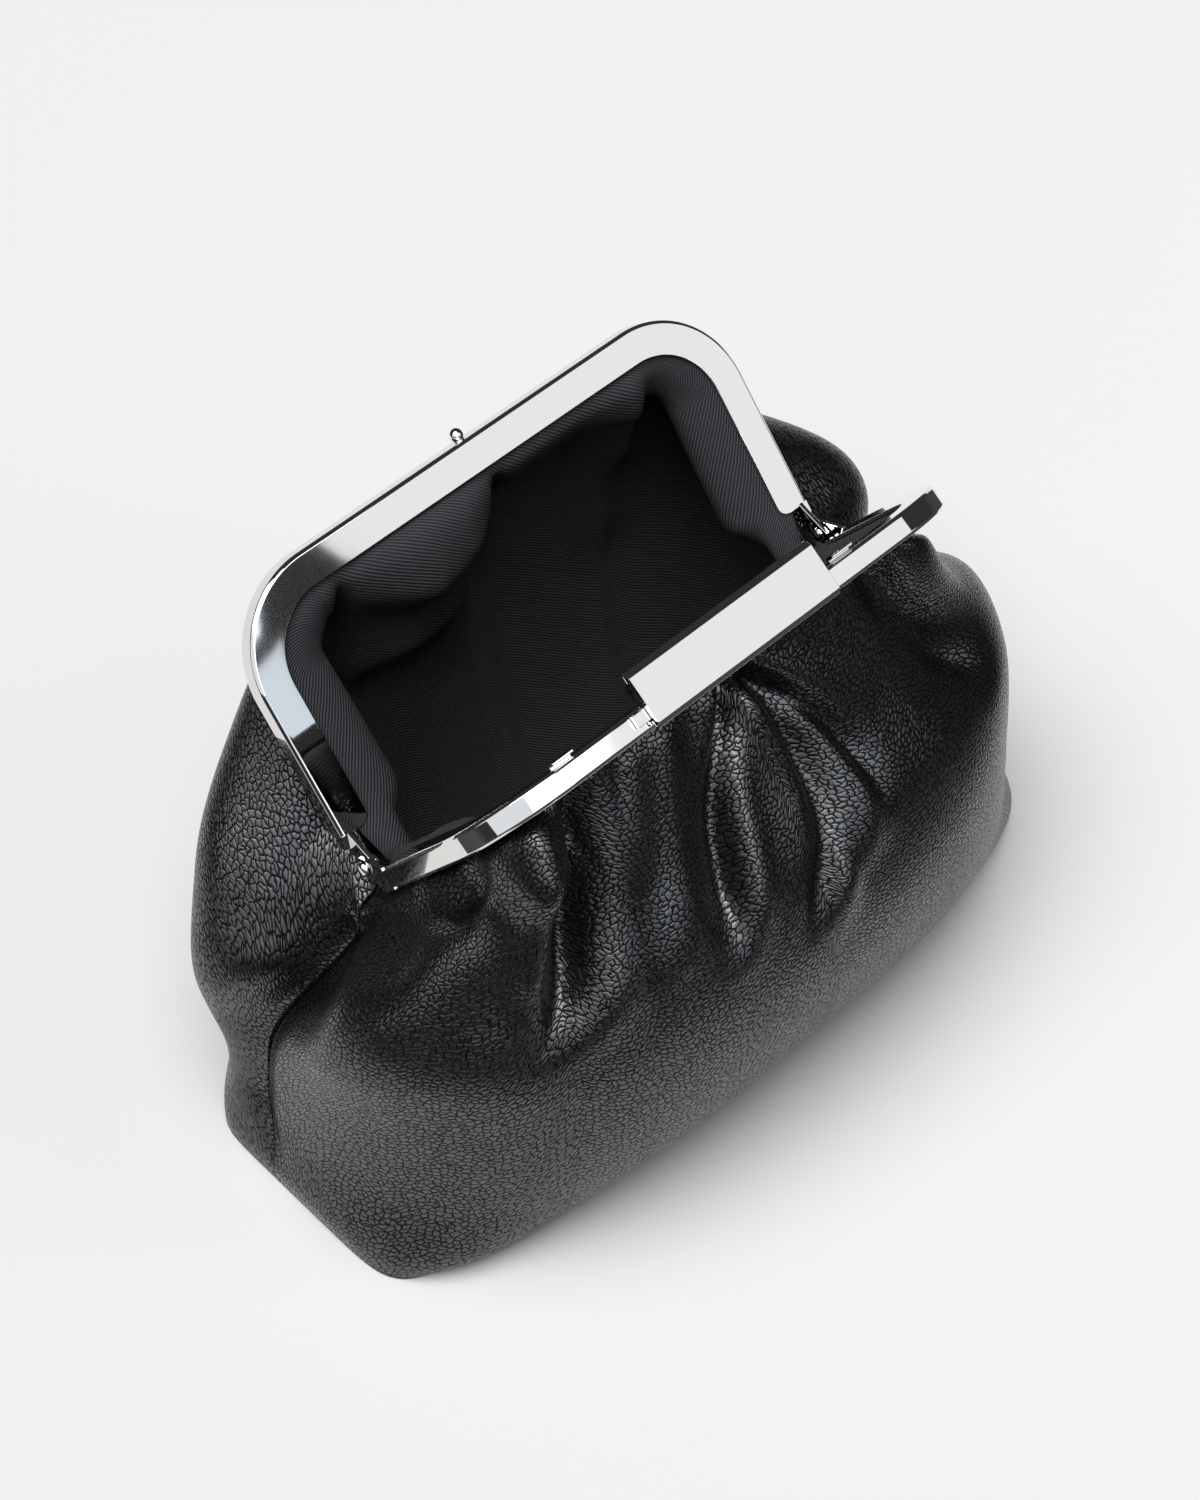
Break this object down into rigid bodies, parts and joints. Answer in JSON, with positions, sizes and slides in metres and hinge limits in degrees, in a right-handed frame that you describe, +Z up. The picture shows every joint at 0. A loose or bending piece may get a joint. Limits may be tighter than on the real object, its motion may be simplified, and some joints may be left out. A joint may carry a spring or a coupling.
{
  "type": "clasp-frame bag",
  "caption": "Small bag of pebbled black leather with a twill lining, standing open on its base, gathered into a hinged nickel frame with a ball catch and a sliding bar clasp.",
  "frame": {"origin": "middle of the flat base, on the surface that the bag stands on", "axes": "+X along the hinge axis, to the right as seen from the front, -Y out of the front with the bar clasp, +Z up"},
  "size_m": [0.2506, 0.1581, 0.1766],
  "materials": {
    "nickel": "polished nickel plate",
    "leather": "black pebbled leather with a soft sheen",
    "lining": "charcoal cotton twill"
  },
  "bodies": {
    "bag": {"back_jaw": "nickel", "ball_stud": "nickel", "front_jaw": "nickel", "clasp_plate": "nickel", "left_rivet": "nickel", "right_rivet": "nickel", "front_panel": "leather", "back_panel": "leather", "lining": "lining"},
    "bar": {"clasp_bar": "nickel"}
  },
  "joints": [
    {"name": "bar_slide", "type": "slide", "parent": "bag", "child": "bar", "axis": [1, 0, 0], "range_m": [-0.005, 0]}
  ]
}
